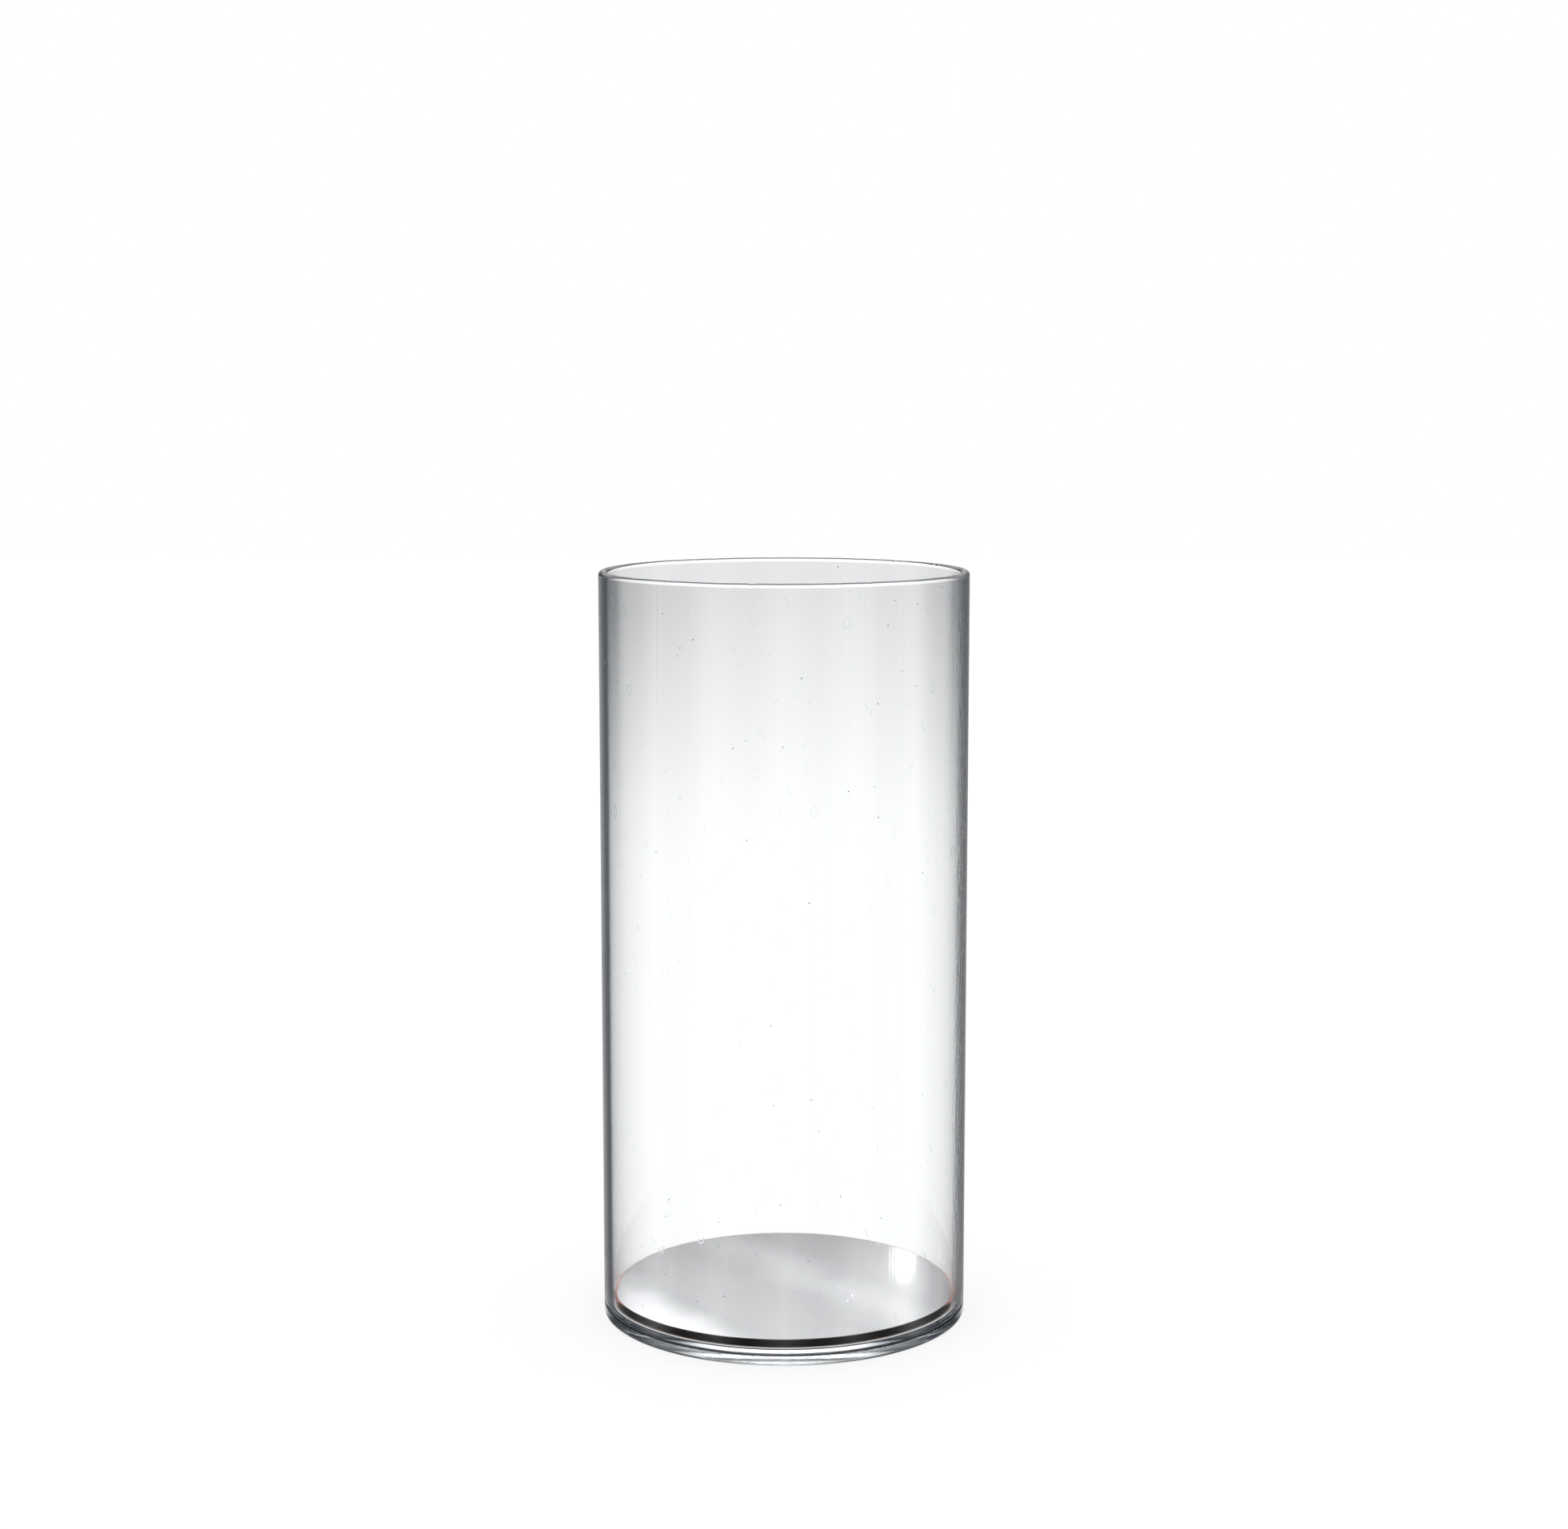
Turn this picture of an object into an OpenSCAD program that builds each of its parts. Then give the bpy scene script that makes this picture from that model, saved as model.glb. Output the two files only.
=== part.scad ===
// Straight-sided clear cylinder vase: a drawn tube bonded to a stepped base plate,
// with a loose mirror disc lying on the floor inside.
// Millimetres, +Z up, origin at the centre of the underside.

/* [Vase] */
// Outside diameter of the tube and of the base plate
vase_d = 130; // [100:1:180]
// Overall height, from the underside to the top of the rim
vase_h = 267; // [160:1:400]
// Wall thickness of the tube
wall_t = 3; // [2.5:0.5:6]
// Ease ground on the outer edge of the tube's lower end
tube_ease = 0.35; // [0.1:0.05:0.6]

/* [Base plate] */
// Thickness of the plate where it shows below the tube
plate_t = 4; // [3:0.5:8]
// Height of the step that locates the tube
step_h = 1.4; // [1:0.1:3]
// Radius of the eased lower edge
plate_ease = 0.9; // [0.3:0.1:1.4]
// Ease on the upper edge of the step
step_ease = 0.3; // [0.1:0.1:0.5]

/* [Cement] */
// Thickness of the clear cement film between tube and plate
cement_t = 0.2; // [0.1:0.05:0.4]

/* [Mirror disc] */
// Gap between the disc's edge film and the wall, all round
disc_gap = 0.9; // [0.5:0.1:3]
// Radial thickness of the tinted film wrapped round the edge
film_t = 0.6; // [0.3:0.1:1]
// Thickness of the silvered face
face_t = 0.3; // [0.2:0.1:1]
// Thickness of the dark core
core_t = 2.4; // [1:0.1:5]
// Thickness of the backing coat
backing_t = 0.2; // [0.2:0.1:0.6]
// Air gap under the disc
seat_gap = 0.1; // [0.05:0.05:0.3]

/* [Hidden] */
$fn = 180;

outer_r = vase_d / 2;
inner_r = outer_r - wall_t;
rim_r = wall_t / 2;
tube_foot_z = plate_t + cement_t;
step_r = inner_r - cement_t;
step_top_z = plate_t + step_h;
cement_top_z = step_top_z - step_ease;

film_r = inner_r - disc_gap;
disc_r = film_r - film_t;
backing_z = step_top_z + seat_gap;
core_z = backing_z + backing_t;
face_z = core_z + core_t;
disc_h = backing_t + core_t + face_t;

// A flat disc standing at height z
module disc(r, h, z) {
    translate([0, 0, z]) cylinder(r = r, h = h);
}

// Drawn tube, rim melted to a full round and lower end ground flat
module wall_tube() {
    color("lightcyan", 0.35)
    rotate_extrude()
    union() {
        difference() {
            translate([inner_r, tube_foot_z])
                square([wall_t, vase_h - rim_r - tube_foot_z]);
            translate([outer_r, tube_foot_z])
                rotate(45)
                square(tube_ease * sqrt(2), center = true);
        }
        translate([outer_r - rim_r, vase_h - rim_r]) circle(r = rim_r);
    }
}

// Clear plate with a step that drops inside the tube
module base_plate() {
    color("lightsteelblue", 0.45)
    rotate_extrude()
    union() {
        square([outer_r - plate_ease, plate_t]);
        translate([0, plate_ease]) square([outer_r, plate_t - plate_ease]);
        translate([outer_r - plate_ease, plate_ease]) intersection() {
            circle(r = plate_ease);
            translate([0, -plate_ease]) square(plate_ease);
        }
        square([step_r, step_top_z - step_ease]);
        square([step_r - step_ease, step_top_z]);
    }
}

// Cement film: flat under the tube's end and upright round the step
module cement_ring() {
    color("gainsboro", 0.6)
    rotate_extrude()
    union() {
        translate([step_r, plate_t])
            square([outer_r - tube_ease - step_r, cement_t]);
        translate([step_r, plate_t])
            square([inner_r - step_r, cement_top_z - plate_t]);
    }
}

// Silvered top layer of the disc
module mirror_face() {
    color("silver") disc(disc_r, face_t, face_z);
}

// Dark body of the disc
module insert_core() {
    color("dimgray") disc(disc_r, core_t, core_z);
}

// Protective coat under the disc
module insert_backing() {
    color("tan") disc(disc_r, backing_t, backing_z);
}

// Thin tinted film wrapped round the disc's edge
module edge_film() {
    color("salmon", 0.6)
    difference() {
        disc(film_r, disc_h, backing_z);
        translate([0, 0, backing_z - 1]) cylinder(r = disc_r, h = disc_h + 2);
    }
}

wall_tube();
base_plate();
cement_ring();
mirror_face();
insert_core();
insert_backing();
edge_film();
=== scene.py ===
"""Clear cylinder vase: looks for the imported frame. Metres, +Z up, same frame as the CAD."""
import math
import random

import bpy
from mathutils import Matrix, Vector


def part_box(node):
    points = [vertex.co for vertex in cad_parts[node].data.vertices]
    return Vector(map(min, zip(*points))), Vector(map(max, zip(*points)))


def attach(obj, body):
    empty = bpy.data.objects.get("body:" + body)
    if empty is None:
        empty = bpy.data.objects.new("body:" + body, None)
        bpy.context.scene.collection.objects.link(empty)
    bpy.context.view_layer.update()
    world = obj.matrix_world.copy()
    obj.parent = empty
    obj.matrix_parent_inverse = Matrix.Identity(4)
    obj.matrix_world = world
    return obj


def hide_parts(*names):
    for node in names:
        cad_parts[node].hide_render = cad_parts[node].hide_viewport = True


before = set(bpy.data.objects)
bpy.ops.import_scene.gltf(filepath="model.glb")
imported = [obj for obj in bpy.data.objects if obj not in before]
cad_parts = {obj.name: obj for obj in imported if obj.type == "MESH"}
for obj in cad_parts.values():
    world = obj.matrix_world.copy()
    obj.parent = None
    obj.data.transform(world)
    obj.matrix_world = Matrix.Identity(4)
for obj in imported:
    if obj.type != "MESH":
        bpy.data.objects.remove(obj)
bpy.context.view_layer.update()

SEED = 7
MM = 0.001

# Sizes the CAD fixes, read from its nodes
TUBE_LOW, TUBE_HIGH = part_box("wall_tube")
PLATE_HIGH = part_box("base_plate")[1]
CEMENT_LOW, CEMENT_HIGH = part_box("cement_ring")
FILM_LOW, FILM_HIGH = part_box("edge_film")
CORE_LOW, CORE_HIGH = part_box("insert_core")
FACE_LOW, FACE_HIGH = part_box("mirror_face")
BACK_LOW, BACK_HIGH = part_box("insert_backing")

OUTER_R = TUBE_HIGH.x
RIM_Z = TUBE_HIGH.z
FOOT_Z = TUBE_LOW.z
STEP_Z = PLATE_HIGH.z
FLANGE_Z = CEMENT_LOW.z
CEMENT_TOP = CEMENT_HIGH.z
DISC_R = CORE_HIGH.x
FILM_R = FILM_HIGH.x

# Details of the tube and plate that a bounding box doesn't give
WALL = 3.0 * MM
INNER_R = OUTER_R - WALL
TUBE_EASE = 0.35 * MM
PLATE_EASE = 0.9 * MM
STEP_EASE = 0.3 * MM
CEMENT_T = 0.2 * MM
# Hair gap that keeps bonded faces from lying in the same plane
HAIR = 0.02 * MM
# Height of the painted shadow line, a dark strip on the plate's side just under the joint
JOINT_LINE = 0.5 * MM
# Distance of the extra ring that keeps a straight wall's shading straight beside a rounded edge
HOLD = 0.15 * MM
# Steps round every turned piece, and the angle above which an edge is shaded sharp
RING = 720
SHARP_ANGLE = math.radians(32)
# Two outline points nearer than this are one point
SAME_POINT = 1e-9
# Nicks in the rim
NICKS = 14

# The walls and plate, and the thin film round the disc
GLASS_IOR = 1.49
FILM_IOR = 1.04
SOFT_GLOSS = (0.4, 0.4, 0.4, 1.0)
WHITE = (1.0, 1.0, 1.0, 1.0)
# Bearing of the tube's one deep draw line, in radians from the front
DEEP_LINE_BEARING = -0.72
# Bearing of the stretch of wall that has been rubbed rough, in radians from the front
RUBBED_BEARING = 1.38
# Mirror disc: its plain reflectance, the slant its painted streak is measured along, and the painted pale
# streak itself, a painted reflection in its colour
MIRROR_TONE = 0.46
SLANT_X = -0.82
SLANT_Y = -0.574
PAINTED_STREAK_AT = -11.0 * MM
PAINTED_STREAK_REACH = 18.0 * MM
PAINTED_STREAK_LIFT = 0.13


# ---------------------------------------------------------------- nodes

def add_node(tree, kind, values=None, **settings):
    """Adds a node, sets its options, then its inputs by name or place (a socket links)."""
    made = tree.nodes.new(kind)
    for key, value in settings.items():
        setattr(made, key, value)
    for key, value in (values or {}).items():
        if isinstance(value, bpy.types.NodeSocket):
            tree.links.new(value, made.inputs[key])
        else:
            made.inputs[key].default_value = value
    return made


def math_node(tree, operation, *values):
    """One Math node; its first output."""
    return add_node(tree, "ShaderNodeMath", dict(enumerate(values)), operation=operation).outputs[0]


def away_from(tree, value, middle):
    """How far a value lies from a middle one."""
    return math_node(tree, "ABSOLUTE", math_node(tree, "SUBTRACT", value, middle))


def ramp_node(tree, factor, stops):
    """A colour ramp from (place, grey or colour) stops; its colour output."""
    made = add_node(tree, "ShaderNodeValToRGB", {0: factor})
    elements = made.color_ramp.elements
    elements.remove(elements[1])
    for index, (place, tone) in enumerate(stops):
        element = elements.new(place) if index else elements[0]
        element.position = place
        element.color = (*tone, 1.0) if isinstance(tone, tuple) else (tone, tone, tone, 1.0)
    return made.outputs[0]


def range_node(tree, value, from_min, from_max, to_min, to_max, **settings):
    """A clamped Map Range node; its output."""
    values = {0: value, 1: from_min, 2: from_max, 3: to_min, 4: to_max}
    return add_node(tree, "ShaderNodeMapRange", values, **settings).outputs[0]


def mix_colours(tree, factor, first, second, blend="MIX"):
    """Mixes two colours; the result socket."""
    made = add_node(tree, "ShaderNodeMix", data_type="RGBA", blend_type=blend, clamp_factor=False)
    for place, value in ((0, factor), (6, first), (7, second)):
        if isinstance(value, bpy.types.NodeSocket):
            tree.links.new(value, made.inputs[place])
        else:
            made.inputs[place].default_value = value
    return made.outputs[2]


def new_material(name):
    """An empty node material with its output; the material, its tree and its output node."""
    made = bpy.data.materials.new(name)
    made.use_nodes = True
    tree = made.node_tree
    tree.nodes.clear()
    return made, tree, tree.nodes.new("ShaderNodeOutputMaterial")


def scaled_object_coords(tree, x, y, z):
    """Object coordinates in metres, multiplied per axis."""
    coords = add_node(tree, "ShaderNodeTexCoord")
    return add_node(
        tree, "ShaderNodeVectorMath", {0: coords.outputs["Object"], 1: (x, y, z)}, operation="MULTIPLY"
    ).outputs[0]


def object_place(tree):
    """Object coordinates in metres, as they are."""
    return scaled_object_coords(tree, 1.0, 1.0, 1.0)


def noise_node(tree, vector, scale, detail=2.0, roughness=0.5):
    """A noise texture's value."""
    values = {"Vector": vector, "Scale": scale, "Detail": detail, "Roughness": roughness}
    return add_node(tree, "ShaderNodeTexNoise", values).outputs["Fac"]


def bump_node(tree, height, distance, strength=1.0, normal=None):
    """A bump node in metres; its normal."""
    values = {"Height": height, "Distance": distance, "Strength": strength}
    if normal is not None:
        values["Normal"] = normal
    return add_node(tree, "ShaderNodeBump", values).outputs[0]


# ---------------------------------------------------------------- clear materials

def add_tint(tree, output):
    """The faint cool tint that thick clear acrylic has."""
    tint = add_node(tree, "ShaderNodeVolumeAbsorption", {"Color": (0.9, 0.935, 0.96, 1.0), "Density": 3.0})
    tree.links.new(tint.outputs[0], output.inputs["Volume"])


def finish_clear(tree, output, tone, roughness, normal):
    """The clear shader that the walls, plate, joint and cement share."""
    shader = add_node(tree, "ShaderNodeBsdfPrincipled", {
        "Base Color": tone,
        "Roughness": roughness,
        "IOR": GLASS_IOR,
        "Specular Tint": SOFT_GLOSS,
        "Transmission Weight": 1.0,
        "Normal": normal,
    })
    tree.links.new(shader.outputs[0], output.inputs["Surface"])
    add_tint(tree, output)


def unrolled_coords(tree, height_scale, slant=0.0):
    """Round-the-wall and scaled up-the-wall distances in metres; the radius sets the two faces apart."""
    coords = add_node(tree, "ShaderNodeTexCoord")
    x, y, z = add_node(tree, "ShaderNodeSeparateXYZ", {0: coords.outputs["Object"]}).outputs
    bearing = math_node(tree, "ARCTAN2", x, math_node(tree, "MULTIPLY", y, -1.0))
    flat = add_node(tree, "ShaderNodeCombineXYZ", {0: x, 1: y}).outputs[0]
    radius = add_node(tree, "ShaderNodeVectorMath", {0: flat}, operation="LENGTH").outputs["Value"]
    across = math_node(tree, "MULTIPLY_ADD", bearing, OUTER_R, math_node(tree, "MULTIPLY", radius, 40.0))
    across = math_node(tree, "MULTIPLY_ADD", z, slant, across)
    up = math_node(tree, "MULTIPLY", z, height_scale)
    return add_node(tree, "ShaderNodeCombineXYZ", {0: across, 1: up}).outputs[0], bearing


def spots(tree, vector, scale, start, end, share):
    """Scattered round spots: 1 between two distances from some of the cells' middles, else 0."""
    values = {"Vector": vector, "Scale": scale}
    cells = add_node(tree, "ShaderNodeTexVoronoi", values, voronoi_dimensions="2D")
    soft = 0.25 * (end - start)
    near = range_node(tree, cells.outputs["Distance"], end - soft, end + soft, 1.0, 0.0)
    if start > 0:
        hole = range_node(tree, cells.outputs["Distance"], start - soft, start + soft, 0.0, 1.0)
        near = math_node(tree, "MULTIPLY", near, hole)
    pick = add_node(tree, "ShaderNodeSeparateColor", {0: cells.outputs["Color"]}).outputs[0]
    return math_node(tree, "MULTIPLY", near, math_node(tree, "LESS_THAN", pick, share))


def draw_lines(tree):
    """Fine lengthwise lines left by drawing, stronger in patches."""
    drawn = unrolled_coords(tree, 0.004)[0]
    lines = noise_node(tree, drawn, 1100.0, 3.0, 0.65)
    patches = range_node(tree, noise_node(tree, drawn, 22.0, 1.0), 0.45, 0.65, 0.15, 1.0)
    return math_node(tree, "MULTIPLY", lines, patches)


def hair_scratches(tree):
    """Short thin scratches that lean two ways."""
    left = spots(tree, unrolled_coords(tree, 0.09, 0.5)[0], 190.0, 0.0, 0.026, 0.18)
    right = spots(tree, unrolled_coords(tree, 0.12, -0.8)[0], 170.0, 0.0, 0.022, 0.18)
    return math_node(tree, "MAXIMUM", left, right)


def rubbed_stretch(tree, bearing):
    """A stretch of wall, top to bottom, that has been rubbed rough."""
    near = range_node(tree, away_from(tree, bearing, RUBBED_BEARING), 0.1, 0.3, 1.0, 0.0)
    rubs = noise_node(tree, unrolled_coords(tree, 0.3)[0], 500.0, 4.0, 0.7)
    return math_node(tree, "MULTIPLY", near, rubs)


def wall_relief(tree, bearing, lines, rings, scratches):
    """The wall's surface, from its draw lines down to its scratches; a normal."""
    swell = noise_node(tree, scaled_object_coords(tree, 1.0, 1.0, 0.25), 60.0, 2.0)
    deep = range_node(tree, away_from(tree, bearing, DEEP_LINE_BEARING), 0.0, 0.005, 1.0, 0.0)
    normal = bump_node(tree, lines, 0.007 * MM)
    normal = bump_node(tree, rubbed_stretch(tree, bearing), 0.05 * MM, normal=normal)
    normal = bump_node(tree, swell, 0.012 * MM, normal=normal)
    normal = bump_node(tree, deep, 0.015 * MM, normal=normal)
    normal = bump_node(tree, rings, 0.015 * MM, normal=normal)
    return bump_node(tree, scratches, 0.01 * MM, normal=normal)


def wall_material():
    """Drawn acrylic: lengthwise draw lines, water rings, specks, hair scratches and light scuffs."""
    made, tree, output = new_material("drawn_clear_acrylic")
    rolled, bearing = unrolled_coords(tree, 1.0)
    lines = draw_lines(tree)
    rings = spots(tree, unrolled_coords(tree, 0.6)[0], 30.0, 0.028, 0.04, 0.22)
    specks = spots(tree, rolled, 38.0, 0.0, 0.01, 0.2)
    scratches = hair_scratches(tree)
    worn = math_node(tree, "MAXIMUM", math_node(tree, "MULTIPLY", rings, 0.4), scratches)
    tone = mix_colours(tree, worn, (0.99, 0.995, 0.993, 1.0), (0.72, 0.74, 0.75, 1.0))
    shade = range_node(tree, lines, 0.4, 0.7, 0.0, 0.35)
    tone = mix_colours(tree, shade, tone, (0.8, 0.82, 0.83, 1.0))
    tone = mix_colours(tree, specks, tone, (0.08, 0.08, 0.085, 1.0))
    scuffs = range_node(tree, noise_node(tree, rolled, 700.0, 6.0, 0.7), 0.6, 0.8, 0.0, 0.08)
    finish_clear(tree, output, tone, scuffs, wall_relief(tree, bearing, lines, rings, scratches))
    return made


def plate_material():
    """Cut acrylic sheet: machining lines round the side, cement runs under the joint, light scuffs."""
    made, tree, output = new_material("cut_clear_acrylic")
    lines = noise_node(tree, scaled_object_coords(tree, 0.02, 0.02, 1.0), 5000.0, 3.0, 0.6)
    place = object_place(tree)
    chips = noise_node(tree, place, 500.0, 4.0, 0.6)
    height = add_node(tree, "ShaderNodeSeparateXYZ", {0: place}).outputs[2]
    ragged = noise_node(tree, scaled_object_coords(tree, 1.0, 1.0, 2.0), 1100.0, 3.0)
    below = range_node(tree, away_from(tree, height, FLANGE_Z - 0.8 * MM), 0.2 * MM, 0.6 * MM, 1.0, 0.0)
    runs = math_node(tree, "MULTIPLY", below, range_node(tree, ragged, 0.58, 0.64, 0.0, 1.0))
    normal = bump_node(tree, lines, 0.0004 * MM)
    normal = bump_node(tree, chips, 0.002 * MM, normal=normal)
    normal = bump_node(tree, runs, 0.008 * MM, normal=normal)
    tone = mix_colours(tree, runs, (0.98, 0.995, 0.995, 1.0), (0.45, 0.47, 0.48, 1.0))
    finish_clear(tree, output, tone, range_node(tree, chips, 0.6, 0.8, 0.0, 0.04), normal)
    return made


def painted_joint_shade_material():
    """The joint's edge, on its cement and ground faces, with painted shade: a near-black tint standing in
    for the shadow line at the joint, a little lighter up the tube's eased foot and toward the back.
    """
    made, tree, output = new_material("joint_edge_painted_shade")
    grain = noise_node(tree, object_place(tree), 900.0, 4.0, 0.6)
    y, z = add_node(tree, "ShaderNodeSeparateXYZ", {0: object_place(tree)}).outputs[1:]
    # Painted light: the joint's shade lifts up the tube's eased foot, less above the cement's top, and more
    # toward the back
    lift = range_node(tree, z, FOOT_Z, FOOT_Z + TUBE_EASE, 0.0, 0.3)
    lift = math_node(tree, "MULTIPLY", lift, range_node(tree, z, CEMENT_TOP - HOLD, CEMENT_TOP, 1.0, 0.35))
    lift = math_node(tree, "ADD", lift, range_node(tree, y, 0.0, 0.7 * OUTER_R, 0.0, 0.45))
    # Painted shade: a near-black tint for the shadow line at the joint
    dark = ramp_node(tree, grain, [(0.3, (0.001, 0.001, 0.001)), (0.7, (0.006, 0.006, 0.007))])
    tone = mix_colours(tree, lift, dark, (0.9, 0.92, 0.93, 1.0))
    rough = range_node(tree, grain, 0.3, 0.7, 0.02, 0.1)
    finish_clear(tree, output, tone, rough, bump_node(tree, grain, 0.03 * MM))
    return made


def bonded_material():
    """A cemented face: the same clear stuff on both sides, so light goes straight on."""
    made, tree, output = new_material("bonded_face")
    shader = add_node(tree, "ShaderNodeBsdfPrincipled", {
        "Base Color": (1.0, 1.0, 1.0, 1.0),
        "IOR": GLASS_IOR,
        "Alpha": 0.0,
    })
    tree.links.new(shader.outputs[0], output.inputs["Surface"])
    add_tint(tree, output)
    return made


def cement_material():
    """Clear cement, a little uneven where it is squeezed out."""
    made, tree, output = new_material("clear_cement")
    lumps = noise_node(tree, object_place(tree), 1200.0, 3.0)
    rough = range_node(tree, lumps, 0.5, 0.8, 0.0, 0.05)
    finish_clear(tree, output, (0.95, 0.97, 0.97, 1.0), rough, bump_node(tree, lumps, 0.01 * MM))
    return made


def film_material():
    """Copper-tinted clear film: nearly clear through its thickness, salmon along it."""
    made, tree, output = new_material("tinted_edge_film")
    creases = noise_node(tree, scaled_object_coords(tree, 1.0, 1.0, 0.2), 300.0, 3.0)
    shader = add_node(tree, "ShaderNodeBsdfPrincipled", {
        "Base Color": ramp_node(tree, creases, [(0.3, (1.0, 0.98, 0.97)), (0.7, (1.0, 0.93, 0.9))]),
        "Roughness": range_node(tree, creases, 0.3, 0.8, 0.0, 0.05),
        "IOR": FILM_IOR,
        "Specular Tint": SOFT_GLOSS,
        "Transmission Weight": 1.0,
        "Normal": bump_node(tree, creases, 0.02 * MM),
    })
    tree.links.new(shader.outputs[0], output.inputs["Surface"])
    tint = add_node(tree, "ShaderNodeVolumeAbsorption", {"Color": (0.97, 0.7, 0.6, 1.0), "Density": 320.0})
    tree.links.new(tint.outputs[0], output.inputs["Volume"])
    return made


# ---------------------------------------------------------------- solid materials

def painted_mirror_sheen(tree, place):
    """Painted reflection and light in the silver's colour: a slanting painted pale streak, one painted
    bright edge, and painted light that makes it paler toward the front, darker toward the back.
    """
    x, y = add_node(tree, "ShaderNodeSeparateXYZ", {0: place}).outputs[:2]
    across = math_node(tree, "ADD", math_node(tree, "MULTIPLY", x, SLANT_X),
                       math_node(tree, "MULTIPLY", y, SLANT_Y))
    # Noise that wobbles where the painted streak and painted bright edge fall
    painted_sheen_wobble = noise_node(tree, place, 40.0, 1.0)
    across = math_node(tree, "ADD", across, range_node(tree, painted_sheen_wobble, 0.3, 0.7, -3.0 * MM, 3.0 * MM))
    # Painted reflection: a pale streak slanting across the disc
    painted_streak = range_node(tree, away_from(tree, across, PAINTED_STREAK_AT), 0.0, PAINTED_STREAK_REACH, PAINTED_STREAK_LIFT, 0.0,
                        interpolation_type="SMOOTHSTEP")
    # Painted highlight: the front-left edge brightens toward white
    painted_bright_edge = range_node(tree, across, 0.6 * DISC_R, DISC_R, 0.0, 1.0 - MIRROR_TONE,
                        interpolation_type="SMOOTHSTEP")
    tone = math_node(tree, "ADD", math_node(tree, "ADD", painted_streak, painted_bright_edge), MIRROR_TONE)
    # Painted light and shade: the silver darkens toward the back and brightens toward the front
    forward = range_node(tree, y, DISC_R, -DISC_R, 0.0, 1.0)
    fore = ramp_node(tree, forward, [(0.0, 0.5), (0.5, 0.84), (1.0, 1.0)])
    return mix_colours(tree, 1.0, tone, fore, "MULTIPLY")


def mirror_material():
    """Soft silvered face, a little wavy, with fine grain; its colour carries a painted sheen: a painted pale
    streak with cloudy edges, a painted bright edge and painted light toward the front.
    """
    made, tree, output = new_material("satin_mirror_painted_sheen")
    place = object_place(tree)
    grain = noise_node(tree, place, 2600.0, 2.0)
    normal = bump_node(tree, noise_node(tree, place, 14.0, 1.0), 0.008 * MM)
    normal = bump_node(tree, grain, 0.0002 * MM, normal=normal)
    shader = add_node(tree, "ShaderNodeBsdfPrincipled", {
        "Base Color": painted_mirror_sheen(tree, place),
        "Metallic": 1.0,
        "Roughness": range_node(tree, grain, 0.3, 0.7, 0.015, 0.04),
        "Normal": normal,
    })
    tree.links.new(shader.outputs[0], output.inputs["Surface"])
    return made


def core_material():
    """Dark charcoal body of the disc, with a sawn edge."""
    made, tree, output = new_material("charcoal_core")
    grain = noise_node(tree, scaled_object_coords(tree, 1.0, 1.0, 4.0), 900.0, 5.0, 0.6)
    tone = ramp_node(tree, grain, [(0.3, (0.012, 0.012, 0.011)), (0.7, (0.032, 0.032, 0.03))])
    shader = add_node(tree, "ShaderNodeBsdfPrincipled", {
        "Base Color": tone,
        "Specular IOR Level": 0.2,
        "Roughness": range_node(tree, grain, 0.3, 0.7, 0.45, 0.7),
        "Normal": bump_node(tree, grain, 0.04 * MM),
    })
    tree.links.new(shader.outputs[0], output.inputs["Surface"])
    return made


def backing_material():
    """Tan protective coat, mottled as a brushed lacquer is."""
    made, tree, output = new_material("tan_backing")
    mottle = noise_node(tree, object_place(tree), 120.0, 5.0, 0.6)
    tone = ramp_node(tree, mottle, [(0.3, (0.13, 0.1, 0.07)), (0.7, (0.22, 0.175, 0.12))])
    shader = add_node(tree, "ShaderNodeBsdfPrincipled", {
        "Base Color": tone,
        "Roughness": range_node(tree, mottle, 0.3, 0.7, 0.5, 0.75),
        "Normal": bump_node(tree, mottle, 0.03 * MM),
    })
    tree.links.new(shader.outputs[0], output.inputs["Surface"])
    return made


# ---------------------------------------------------------------- meshes

def arc(centre_r, centre_z, radius, start, end, steps):
    """Points along an arc in the (radius, height) plane, angles in degrees."""
    angles = [math.radians(start + (end - start) * i / steps) for i in range(steps + 1)]
    return [(centre_r + radius * math.cos(a), centre_z + radius * math.sin(a)) for a in angles]


def join_stretches(stretches):
    """One closed outline from (points, material place) stretches, with each repeated point dropped."""
    outline = []
    kinds = []
    for points, kind in stretches:
        for point in points:
            if outline and math.dist(point, outline[-1]) < SAME_POINT:
                continue
            outline.append(point)
            kinds.append(kind)
    if math.dist(outline[0], outline[-1]) < SAME_POINT:
        outline.pop()
        kinds[0] = kinds.pop()
    return outline, kinds


def turned_points(outline, shape):
    """The outline's points turned round the axis; the points, and each outline point's row of them."""
    verts = []
    rows = []
    for r, z in outline:
        if r < SAME_POINT:
            rows.append([len(verts)] * RING)
            verts.append((0.0, 0.0, z))
            continue
        rows.append(range(len(verts), len(verts) + RING))
        for step in range(RING):
            angle = 2 * math.pi * step / RING
            at_r, at_z = shape(angle, r, z) if shape else (r, z)
            verts.append((at_r * math.cos(angle), at_r * math.sin(angle), at_z))
    return verts, rows


def turned_faces(outline, kinds, rows):
    """Faces between neighbouring rows, and each one's material place; none along the axis itself."""
    faces = []
    places = []
    for index, low in enumerate(rows):
        after = (index + 1) % len(rows)
        high = rows[after]
        if outline[index][0] < SAME_POINT and outline[after][0] < SAME_POINT:
            continue
        for step in range(RING):
            beside = (step + 1) % RING
            loop = [low[step], low[beside], high[beside], high[step]]
            faces.append(list(dict.fromkeys(loop)))
            places.append(kinds[after])
    return faces, places


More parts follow.
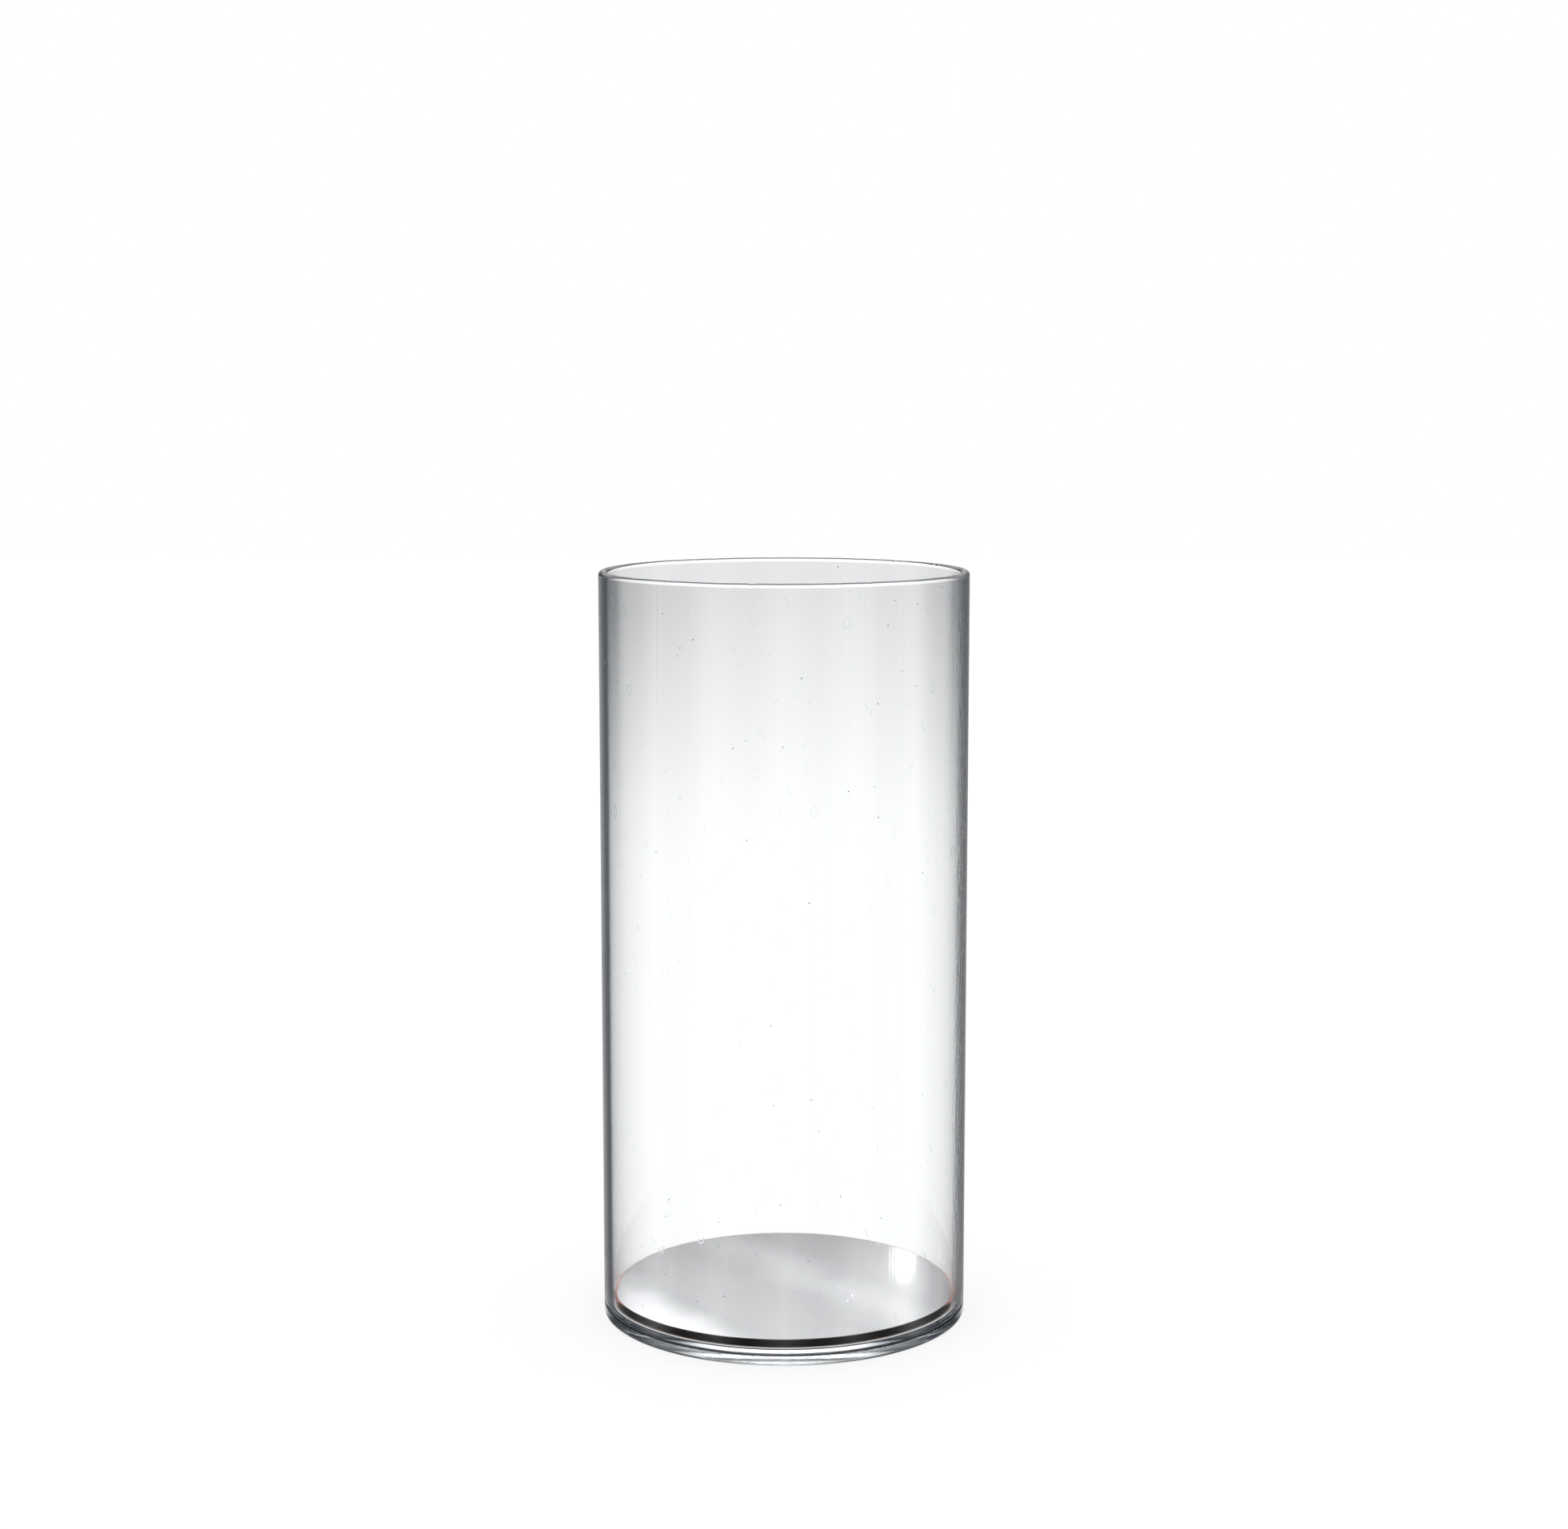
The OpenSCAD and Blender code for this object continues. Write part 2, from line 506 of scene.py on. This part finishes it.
def lathe(name, stretches, materials, shape=None):
    """Turns a closed outline made of (points, material place) stretches; shape moves a point."""
    outline, kinds = join_stretches(stretches)
    verts, rows = turned_points(outline, shape)
    faces, places = turned_faces(outline, kinds, rows)
    mesh = bpy.data.meshes.new(name)
    mesh.from_pydata(verts, [], faces)
    for material in materials:
        mesh.materials.append(material)
    mesh.polygons.foreach_set("material_index", places)
    mesh.shade_smooth()
    mesh.set_sharp_from_angle(angle=SHARP_ANGLE)
    piece = bpy.data.objects.new(name, mesh)
    bpy.context.scene.collection.objects.link(piece)
    return piece


def worn_rim(nick_count):
    """A shape for lathe that gives the melted rim slight waves and small nicks, all downward."""
    nicks = [(random.uniform(-math.pi, math.pi), random.uniform(0.5, 1.1) * MM / OUTER_R,
              random.uniform(0.05, 0.2) * MM) for _ in range(nick_count)]
    waves = [(count, random.uniform(0.0, 2 * math.pi)) for count in (5, 11, 23, 41)]

    def shape(angle, r, z):
        fade = max(0.0, 1.0 - (RIM_Z - z) / WALL)
        dip = sum(0.012 * MM * (1.0 + math.sin(count * angle + phase)) for count, phase in waves)
        for place, width, depth in nicks:
            off = abs((angle - place + math.pi) % (2 * math.pi) - math.pi)
            dip += depth * max(0.0, 1.0 - (off / width) ** 2)
        return r, z - fade * dip

    return shape


def make_tube(wall, bonded, joint):
    """The drawn tube, with a full-round rim and a bonded lower end."""
    rim_r = WALL / 2
    rim = arc(OUTER_R - rim_r, RIM_Z - rim_r, rim_r, 0, 180, 24)
    rim = [(OUTER_R, rim[0][1] - HOLD), *rim, (INNER_R, rim[-1][1] - HOLD)]
    ease_top = FOOT_Z + TUBE_EASE
    stretches = [
        ([(OUTER_R, ease_top), (OUTER_R, ease_top + HOLD), *rim, (INNER_R, CEMENT_TOP)], 0),
        ([(INNER_R, CEMENT_TOP), (INNER_R, FOOT_Z), (OUTER_R - TUBE_EASE, FOOT_Z)], 1),
        # The tube's eased foot takes the joint's painted shade
        ([(OUTER_R - TUBE_EASE, FOOT_Z), (OUTER_R, ease_top)], 2),
    ]
    piece = lathe("glass_tube", stretches, [wall, bonded, joint], worn_rim(NICKS))
    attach(piece, "vase")
    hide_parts("wall_tube")


def make_plate(cut, bonded, joint):
    """The stepped plate: eased lower edge, bonded flange and step side."""
    step_r = INNER_R - CEMENT_T
    ease = arc(OUTER_R - PLATE_EASE, PLATE_EASE, PLATE_EASE, -90, 0, 12)
    ease = [(ease[0][0] - HOLD, 0.0), *ease, (OUTER_R, ease[-1][1] + HOLD)]
    line_z = FLANGE_Z - JOINT_LINE
    stretches = [
        ([(0.0, 0.0), *ease, (OUTER_R, line_z)], 0),
        # The strip just under the joint and the step's ease take the joint's painted shade
        ([(OUTER_R, line_z), (OUTER_R, FLANGE_Z), (OUTER_R - TUBE_EASE, FLANGE_Z)], 2),
        ([(OUTER_R - TUBE_EASE, FLANGE_Z), (step_r, FLANGE_Z), (step_r, CEMENT_TOP)], 1),
        ([(step_r, CEMENT_TOP), (step_r - STEP_EASE, STEP_Z)], 2),
        ([(step_r - STEP_EASE, STEP_Z), (0.0, STEP_Z)], 0),
    ]
    piece = lathe("glass_base", stretches, [cut, bonded, joint])
    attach(piece, "vase")
    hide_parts("base_plate")


def make_cement(clear, bonded, joint):
    """The cement film, with only its outer bead and top edge open to the air."""
    inner = INNER_R - CEMENT_T + HAIR
    outer = OUTER_R - TUBE_EASE
    low = FLANGE_Z + HAIR
    high = FOOT_Z - HAIR
    stretches = [
        # The cement's outer bead and top edge take the joint's painted shade
        ([(outer, low), (outer, high)], 2),
        ([(outer, high), (INNER_R - HAIR, high), (INNER_R - HAIR, CEMENT_TOP)], 1),
        ([(INNER_R - HAIR, CEMENT_TOP), (inner, CEMENT_TOP)], 2),
        ([(inner, CEMENT_TOP), (inner, low), (outer, low)], 1),
    ]
    piece = lathe("cement_film", stretches, [clear, bonded, joint])
    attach(piece, "vase")
    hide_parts("cement_ring")


def solid_disc(name, radius, low, high, ease, material):
    """A flat disc with eased edges."""
    top = arc(radius - ease, high - ease, ease, 0, 90, 4)
    bottom = arc(radius - ease, low + ease, ease, -90, 0, 4)
    flat = radius - ease - HOLD
    stretches = [([(0.0, low), (flat, low), *bottom, *top, (flat, high), (0.0, high)], 0)]
    return lathe(name, stretches, [material])


def make_wrap(film):
    """The film round the disc's edge."""
    ease = 0.08 * MM
    side = [*arc(FILM_R - ease, FILM_LOW.z + ease, ease, -90, 0, 3),
            *arc(FILM_R - ease, FILM_HIGH.z - ease, ease, 0, 90, 3)]
    inner = [(DISC_R + HAIR, FILM_HIGH.z), (DISC_R + HAIR, FILM_LOW.z), side[0]]
    return lathe("edge_wrap", [(side + inner, 0)], [film])


def make_insert(mirror, core, backing, film):
    """The loose disc: silvered face, dark core, backing coat and edge film."""
    face = solid_disc("mirror_top", DISC_R - HAIR, FACE_LOW.z + HAIR, FACE_HIGH.z, 0.1 * MM, mirror)
    body = solid_disc("core_disc", DISC_R - HAIR, CORE_LOW.z + HAIR, CORE_HIGH.z - HAIR, 0.05 * MM, core)
    coat = solid_disc("backing_coat", DISC_R - HAIR, BACK_LOW.z, BACK_HIGH.z - HAIR, 0.08 * MM, backing)
    wrap = make_wrap(film)
    facts = (
        (face, "mirror_face", "silver_mirror"),
        (body, "insert_core", "dark_core"),
        (coat, "insert_backing", "tan_backing"),
        (wrap, "edge_film", "tinted_film"),
    )
    for piece, node, finish in facts:
        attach(piece, "insert")
        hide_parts(node)


# ---------------------------------------------------------------- stage

FLOOR_R = 4.0
SLATE = (0.034, 0.040, 0.047, 1.0)

# Light is laid out by compass direction and height, in degrees. Panels and lamps stand every 45 degrees,
# so nothing is further than half of that from one.
HALF_STEP = 22.5
# How far the panels seen through both walls, and the lamps, are turned round from the wide panels
PANEL_BEARING = 1.5
LAMP_BEARING = 4.9
LAMP_ELEVATION = 17.8
# A lamp's height as a share of its width
LAMP_NARROWING = 0.5
# Where the dark cards beside the front panel end, in degrees round from its middle
CARD_EDGE = 67.5
# Rays flatter than this pass over the base; those steeper than BASE_STEEPEST are looking well down
BASE_FLATTEST = 18.4
BASE_STEEPEST = 20.6
# Counts of crossings and bounces between which the light a ray meets changes
NO_WALL = 0.5
ONE_WALL = 1.5
TWO_WALLS = 2.5
STRAIGHT_ON = 3.5
TURNED_BACK = 6.5

CAMERA_AT = (0.0, -1.0048, 0.3398)
CAMERA_DOWN = 8.03
CAMERA_LENS = 65.91
CAMERA_SENSOR = 36.0


def make_floor():
    """A plain pale floor that only the camera and diffuse light meet."""
    mesh = bpy.data.meshes.new("floor")
    corners = [(x * FLOOR_R, y * FLOOR_R, 0) for x, y in ((-1, -1), (1, -1), (1, 1), (-1, 1))]
    mesh.from_pydata(corners, [], [(0, 1, 2, 3)])
    made, tree, output = new_material("pale_floor")
    matt = add_node(tree, "ShaderNodeBsdfDiffuse", {"Color": (0.3, 0.3, 0.3, 1.0)})
    glow = add_node(tree, "ShaderNodeEmission", {"Color": WHITE, "Strength": 0.75})
    both = add_node(tree, "ShaderNodeAddShader", {0: matt.outputs[0], 1: glow.outputs[0]})
    tree.links.new(both.outputs[0], output.inputs["Surface"])
    mesh.materials.append(made)
    floor = bpy.data.objects.new("floor", mesh)
    bpy.context.scene.collection.objects.link(floor)
    floor.visible_transmission = False
    floor.visible_glossy = False


def lobes(tree, away, stops):
    """Panel tone by degrees away from a panel's middle."""
    return ramp_node(tree, math_node(tree, "DIVIDE", away, 60.0), [(d / 60.0, tone) for d, tone in stops])


def panel_distance(tree, azimuth, steep, start):
    """Degrees from the nearest of eight wide panels; cards hide two of them from rays flatter than start."""
    nearest = math_node(tree, "PINGPONG", azimuth, HALF_STEP)
    front = math_node(tree, "ABSOLUTE", azimuth)
    carded = math_node(tree, "MULTIPLY", math_node(tree, "LESS_THAN", front, CARD_EDGE),
                       range_node(tree, steep, start, start + 0.8, 1.0, 0.0))
    extra = math_node(tree, "MULTIPLY", carded, math_node(tree, "SUBTRACT", front, nearest))
    return math_node(tree, "ADD", nearest, extra)


def edge_light(tree, azimuth, steep):
    """Light met by rays bent inside thick clear stuff: panels, wider in front at the base's height."""
    away = panel_distance(tree, azimuth, steep, BASE_STEEPEST)
    high = lobes(tree, away, [(0.0, 1.0), (3.0, 0.8), (13.0, 0.3), (19.0, 0.14), (25.0, 0.07), (45.0, 0.0)])
    low = lobes(tree, away, [(0.0, 1.3), (8.0, 1.3), (12.0, 1.15), (16.0, 1.0), (21.0, 0.55), (26.0, 0.24),
                             (33.0, 0.11), (41.0, 0.01), (60.0, 0.0)])
    level = math_node(tree, "MULTIPLY", range_node(tree, steep, BASE_FLATTEST, 19.2, 0.0, 1.0),
                      range_node(tree, steep, BASE_STEEPEST, 23.0, 1.0, 0.0))
    front = math_node(tree, "LESS_THAN", math_node(tree, "ABSOLUTE", azimuth), CARD_EDGE)
    level = math_node(tree, "MULTIPLY", level, front)
    return mix_colours(tree, level, high, low)


def mouth_light(tree, azimuth, steep):
    """Light met by rays that crossed one thin wall only, such as those through the open mouth."""
    away = panel_distance(tree, azimuth, steep, 10.0)
    return lobes(tree, away, [(0.0, 1.0), (9.0, 1.0), (14.0, 0.55), (20.0, 0.15), (30.0, 0.0)])


def wall_light(tree, azimuth, elevation):
    """Light met by rays that crossed both thin walls: eight panels near the horizon, even elsewhere."""
    turn = math_node(tree, "PINGPONG", math_node(tree, "SUBTRACT", azimuth, PANEL_BEARING), HALF_STEP)
    panels = lobes(tree, turn, [(0.0, 1.0), (4.0, 0.92), (6.0, 0.78), (9.0, 0.68), (12.0, 0.54), (15.0, 0.4),
                                (18.0, 0.16), (HALF_STEP, 0.0)])
    level = range_node(tree, elevation, -16.0, 16.0, 0.0, 1.0)
    even = ramp_node(tree, level, [(0.08, 0.85), (0.175, 0.75), (0.225, 0.65), (0.3, 0.3), (0.35, 0.0),
                                   (0.55, 0.0), (0.8, 1.0)])
    return mix_colours(tree, even, panels, WHITE)


def all_panels(tree, azimuth, elevation):
    """Picks the panels each ray meets by how often it was bent and turned back on its way."""
    path = add_node(tree, "ShaderNodeLightPath").outputs
    crossings = path["Transmission Depth"]
    bounces = path["Ray Depth"]
    steep = math_node(tree, "ABSOLUTE", elevation)
    edge = edge_light(tree, azimuth, steep)
    crossed = math_node(tree, "GREATER_THAN", crossings, ONE_WALL)
    straight = math_node(tree, "LESS_THAN", bounces, STRAIGHT_ON)
    light = mix_colours(tree, math_node(tree, "MULTIPLY", crossed, straight), edge,
                        mouth_light(tree, azimuth, steep))
    twice = math_node(tree, "GREATER_THAN", crossings, TWO_WALLS)
    light = mix_colours(tree, twice, light, wall_light(tree, azimuth, elevation))
    turned = math_node(tree, "GREATER_THAN", bounces, TURNED_BACK)
    down = range_node(tree, steep, 17.0, BASE_FLATTEST, 0.0, 1.0)
    light = mix_colours(tree, math_node(tree, "MULTIPLY", turned, down), light, edge)
    light = math_node(tree, "MULTIPLY", light, range_node(tree, steep, 33.0, 40.0, 1.0, 0.12))
    clear = math_node(tree, "LESS_THAN", crossings, NO_WALL)
    overhead = math_node(tree, "MULTIPLY", clear, range_node(tree, elevation, 6.0, 12.0, 0.0, 1.0))
    return math_node(tree, "MAXIMUM", light, overhead)


def highlight(tree, azimuth, elevation):
    """A small round lamp behind each panel, which shows as a soft spot on the mirror disc."""
    across = math_node(tree, "PINGPONG", math_node(tree, "SUBTRACT", azimuth, LAMP_BEARING), HALF_STEP)
    across = math_node(tree, "MULTIPLY", across, LAMP_NARROWING)
    up = math_node(tree, "SUBTRACT", elevation, LAMP_ELEVATION)
    away = math_node(tree, "SQRT", math_node(tree, "ADD", math_node(tree, "POWER", across, 2.0),
                                             math_node(tree, "POWER", up, 2.0)))
    core = range_node(tree, away, 0.1, 0.5, 4.0, 0.0, interpolation_type="SMOOTHSTEP")
    glow = range_node(tree, away, 0.2, 1.8, 0.5, 0.0, interpolation_type="SMOOTHERSTEP")
    return math_node(tree, "ADD", core, glow)


def pale_light(tree, elevation):
    """What the panels show: white low down and high up, a soft grey between, a little cool."""
    level = range_node(tree, elevation, -16.0, 24.0, 0.0, 1.0)
    pale = ramp_node(tree, level, [
        (0.0, 1.0), (0.15, 1.0), (0.19, 0.95), (0.25, 0.84), (0.29, 0.76), (0.4, 0.7),
        (0.6, 0.65), (0.8, 0.96), (0.87, 1.0),
    ])
    pale = mix_colours(tree, 1.0, pale, (1.075, 1.08, 1.098, 1.0), "MULTIPLY")
    overhead = range_node(tree, elevation, 13.0, 16.5, 0.0, 1.0)
    return mix_colours(tree, overhead, pale, (1.22, 1.22, 1.23, 1.0), "MULTIPLY")


def make_world():
    """Even white light, with pale panels and dark cards round the vase for what glass bends."""
    world = bpy.data.worlds.new("studio")
    bpy.context.scene.world = world
    world.use_nodes = True
    world.cycles.sampling_method = "NONE"
    tree = world.node_tree
    tree.nodes.clear()
    output = tree.nodes.new("ShaderNodeOutputWorld")
    coords = add_node(tree, "ShaderNodeTexCoord")
    x, y, z = add_node(tree, "ShaderNodeSeparateXYZ", {0: coords.outputs["Generated"]}).outputs
    azimuth = math_node(tree, "DEGREES", math_node(tree, "ARCTAN2", x, y))
    elevation = math_node(tree, "DEGREES", math_node(tree, "ARCSINE", z))
    seen = mix_colours(tree, all_panels(tree, azimuth, elevation), SLATE, pale_light(tree, elevation))
    seen = mix_colours(tree, 1.0, seen, highlight(tree, azimuth, elevation), "ADD")
    path = add_node(tree, "ShaderNodeLightPath").outputs
    direct = math_node(tree, "MAXIMUM", path["Is Camera Ray"], path["Is Diffuse Ray"])
    colour = mix_colours(tree, direct, seen, WHITE)
    light = add_node(tree, "ShaderNodeBackground", {"Color": colour, "Strength": 1.0})
    tree.links.new(light.outputs[0], output.inputs["Surface"])


def make_camera():
    """The viewpoint: just over a metre away, a little above the rim, looking slightly down."""
    data = bpy.data.cameras.new("camera")
    data.sensor_width = CAMERA_SENSOR
    data.lens = CAMERA_LENS
    camera = bpy.data.objects.new("camera", data)
    camera.location = CAMERA_AT
    camera.rotation_euler = (math.radians(90.0 - CAMERA_DOWN), 0.0, 0.0)
    bpy.context.scene.collection.objects.link(camera)
    bpy.context.scene.camera = camera


def set_view():
    """Plain colour transform, and enough bounces for light to cross the thick clear base."""
    scene = bpy.context.scene
    scene.view_settings.view_transform = "Standard"
    scene.cycles.max_bounces = 32
    scene.cycles.glossy_bounces = 28
    scene.cycles.transmission_bounces = 28
    scene.cycles.transparent_max_bounces = 48


random.seed(SEED)
make_camera()
set_view()
make_world()
make_floor()
bonded_face = bonded_material()
joint_edge_painted_shade = painted_joint_shade_material()
make_tube(wall_material(), bonded_face, joint_edge_painted_shade)
make_plate(plate_material(), bonded_face, joint_edge_painted_shade)
make_cement(cement_material(), bonded_face, joint_edge_painted_shade)
make_insert(mirror_material(), core_material(), backing_material(), film_material())
